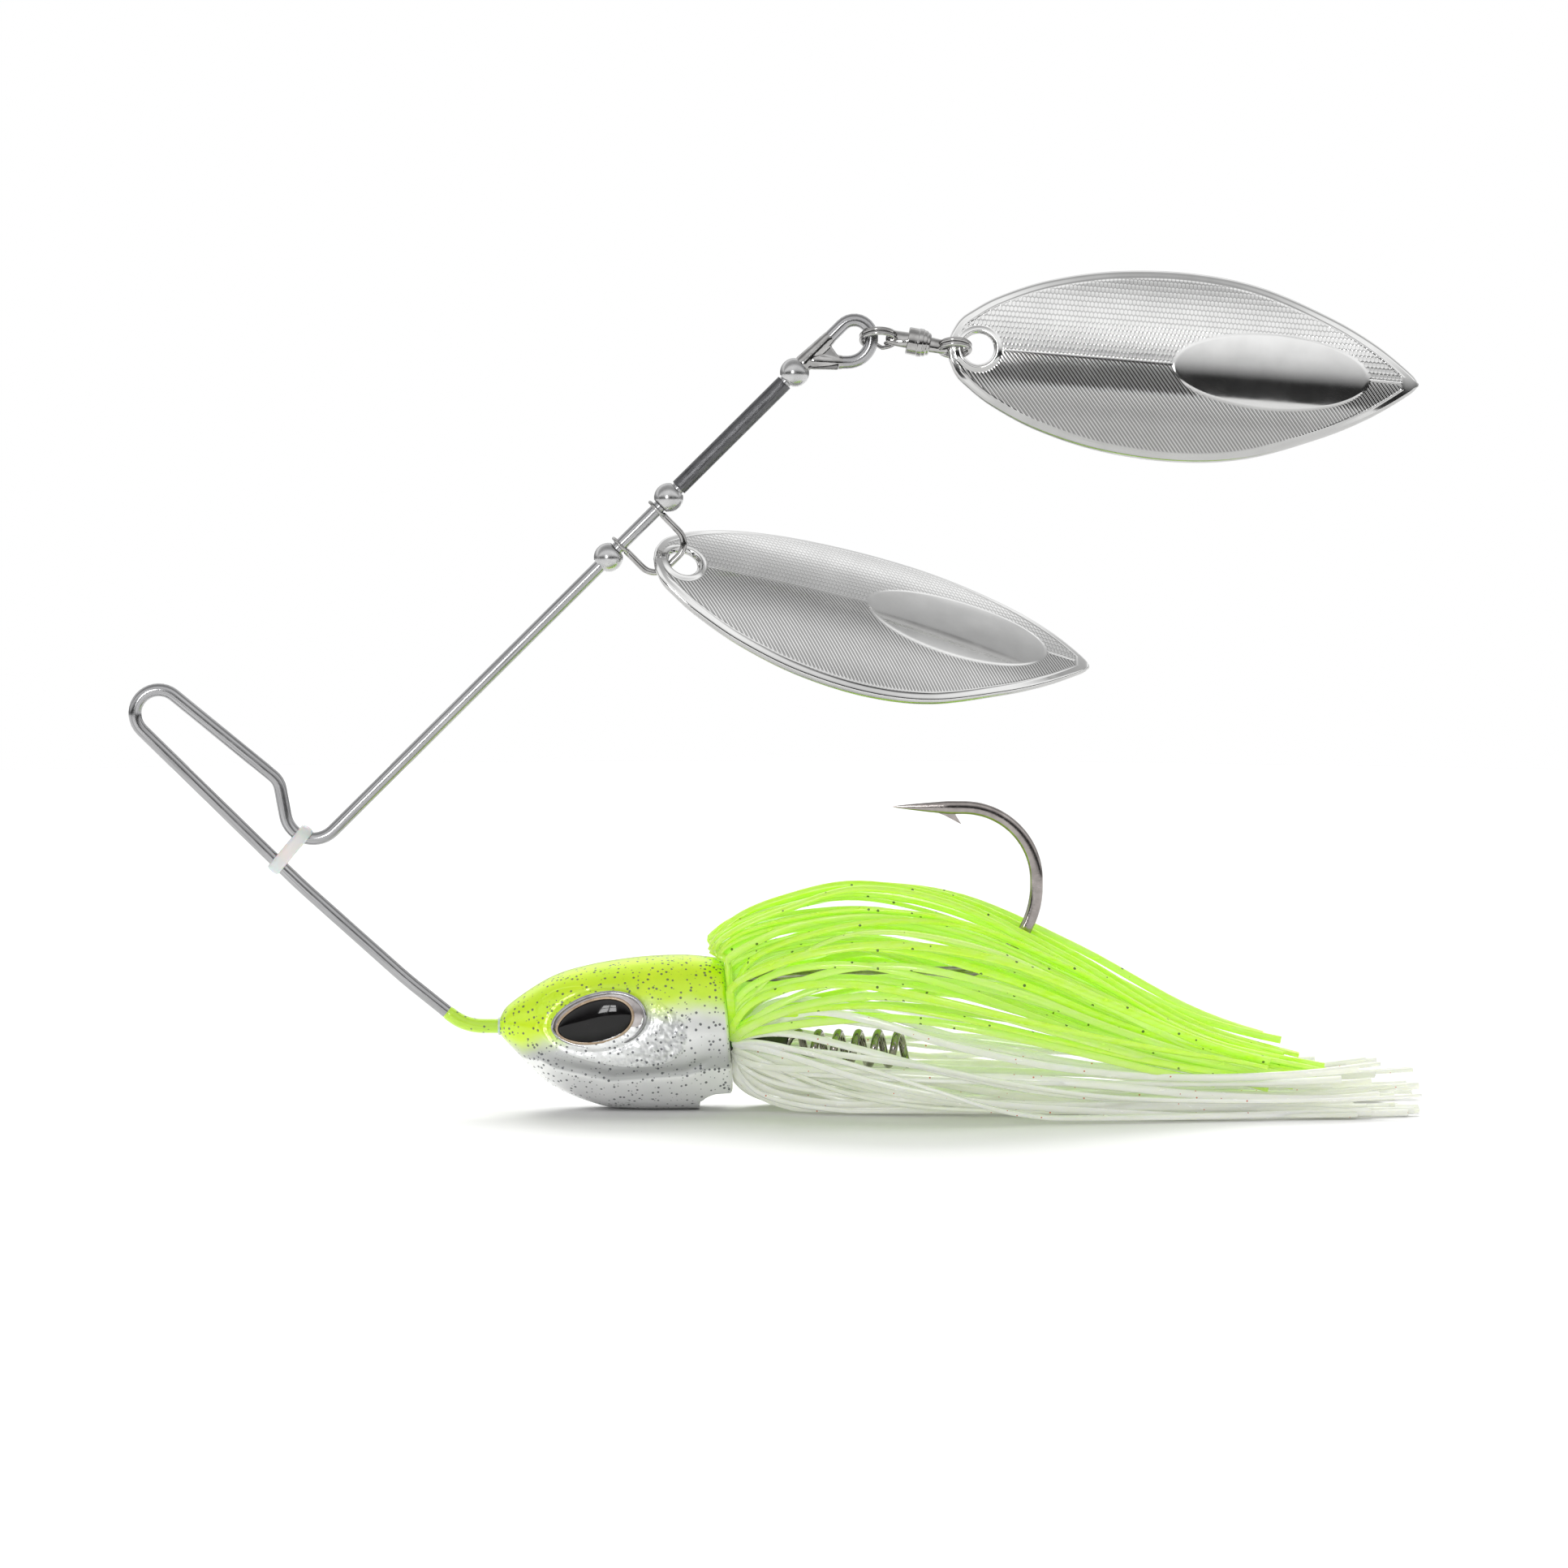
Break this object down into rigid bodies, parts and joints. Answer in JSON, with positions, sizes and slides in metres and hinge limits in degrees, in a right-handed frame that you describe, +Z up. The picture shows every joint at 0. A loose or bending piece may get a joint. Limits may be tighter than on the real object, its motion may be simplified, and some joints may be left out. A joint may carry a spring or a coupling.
{
  "type": "spinnerbait",
  "caption": "Fishing lure: bent wire arm with spinning willow-leaf blades over a cast fish head with glossy eyes, an upturned single hook and a two-tone rubber skirt.",
  "frame": {"origin": "centre of the line tie's front bend, where the fishing line is tied", "axes": "+X towards the tail of the lure, +Y square to the plane of the wire, +Z up as the lure swims"},
  "size_m": [0.1158, 0.0228, 0.0737],
  "materials": {
    "spring_wire": "polished stainless spring wire with fine drawing lines",
    "silicone": "translucent white silicone",
    "head_paint": "chartreuse over pearl silver with dark glitter under a clear gloss coat",
    "eye_chrome": "bright bezel with a printed iris",
    "eye_lens": "clear domed resin over a black pupil",
    "black_nickel": "black nickel plating",
    "thread": "metallic green tying thread",
    "skirt_chartreuse": "glossy silicone strands with black flecks",
    "skirt_pearl": "pearl white translucent silicone strands with red flecks",
    "bead_metal": "polished nickel",
    "swivel_metal": "polished nickel, slightly dark",
    "blade_plating": "bright nickel plating, embossed scales and ribs"
  },
  "bodies": {
    "frame": {"wire_frame": "spring_wire", "loop_ferrule": "spring_wire", "line_tie_ring": "silicone", "head": "head_paint", "eye_disc_left": "eye_chrome", "eye_disc_right": "eye_chrome", "eye_dome_left": "eye_lens", "eye_dome_right": "eye_lens", "hook": "black_nickel", "trailer_keeper": "black_nickel", "skirt_collar": "thread", "skirt_upper": "skirt_chartreuse", "skirt_lower": "skirt_pearl", "bead_low": "bead_metal"},
    "bead_mid": {"bead_mid": "bead_metal"},
    "bead_top": {"bead_top": "bead_metal"},
    "spacer_tube": {"spacer_tube": "black_nickel"},
    "clevis": {"clevis": "swivel_metal"},
    "blade_front": {"blade_front": "blade_plating"},
    "split_ring_front": {"split_ring_front": "swivel_metal"},
    "swivel_rotor": {"swivel_rotor": "swivel_metal"},
    "bearing_balls": {"bearing_ball_1": "bead_metal", "bearing_ball_2": "bead_metal", "bearing_ball_3": "bead_metal", "bearing_ball_4": "bead_metal", "bearing_ball_5": "bead_metal", "bearing_ball_6": "bead_metal"},
    "swivel_barrel": {"swivel_barrel": "swivel_metal", "swivel_cap": "swivel_metal"},
    "split_ring_rear": {"split_ring_rear": "swivel_metal"},
    "blade_rear": {"blade_rear": "blade_plating"}
  },
  "joints": [
    {"name": "bead_mid_spin", "type": "hinge", "parent": "frame", "child": "bead_mid", "pos_m": [0.04479, 0, 0.019], "axis": [0.7096, 0, 0.7046], "continuous": true},
    {"name": "bead_top_spin", "type": "hinge", "parent": "frame", "child": "bead_top", "pos_m": [0.05582, 0, 0.02996], "axis": [0.7096, 0, 0.7046], "continuous": true},
    {"name": "spacer_tube_spin", "type": "hinge", "parent": "frame", "child": "spacer_tube", "pos_m": [0.05022, 0, 0.02439], "axis": [0.7096, 0, 0.7046], "continuous": true},
    {"name": "clevis_spin", "type": "hinge", "parent": "frame", "child": "clevis", "pos_m": [0.04216, 0, 0.01639], "axis": [0.7096, 0, 0.7046], "continuous": true},
    {"name": "front_blade_swing", "type": "hinge", "parent": "clevis", "child": "blade_front", "pos_m": [0.04516, 0, 0.01338], "axis": [-0.7096, 0, -0.7046], "range_deg": [-40, 40]},
    {"name": "front_ring_swing", "type": "hinge", "parent": "frame", "child": "split_ring_front", "pos_m": [0.06256, 0, 0.03295], "axis": [0, 0, 1], "range_deg": [-40, 40]},
    {"name": "swivel_swing", "type": "hinge", "parent": "split_ring_front", "child": "swivel_rotor", "pos_m": [0.06473, 0, 0.03295], "axis": [0, -0.8829, 0.4695], "range_deg": [-60, 60]},
    {"name": "swivel_spin", "type": "hinge", "parent": "swivel_rotor", "child": "swivel_barrel", "pos_m": [0.06473, 0, 0.03295], "axis": [0.9823, 0, -0.1874], "continuous": true},
    {"name": "bearing_orbit", "type": "hinge", "parent": "swivel_rotor", "child": "bearing_balls", "pos_m": [0.06473, 0, 0.03295], "axis": [0.9823, 0, -0.1874], "continuous": true},
    {"name": "rear_ring_swing", "type": "hinge", "parent": "swivel_barrel", "child": "split_ring_rear", "pos_m": [0.06851, 0, 0.03223], "axis": [0, -0.8829, 0.4695], "range_deg": [-45, 45]},
    {"name": "rear_blade_swing", "type": "hinge", "parent": "split_ring_rear", "child": "blade_rear", "pos_m": [0.07115, 0, 0.03213], "axis": [0, 0, 1], "range_deg": [-15, 15]}
  ],
  "couplings": [
    {"joint": "bearing_orbit", "follows": "swivel_spin", "ratio": 0.5}
  ]
}
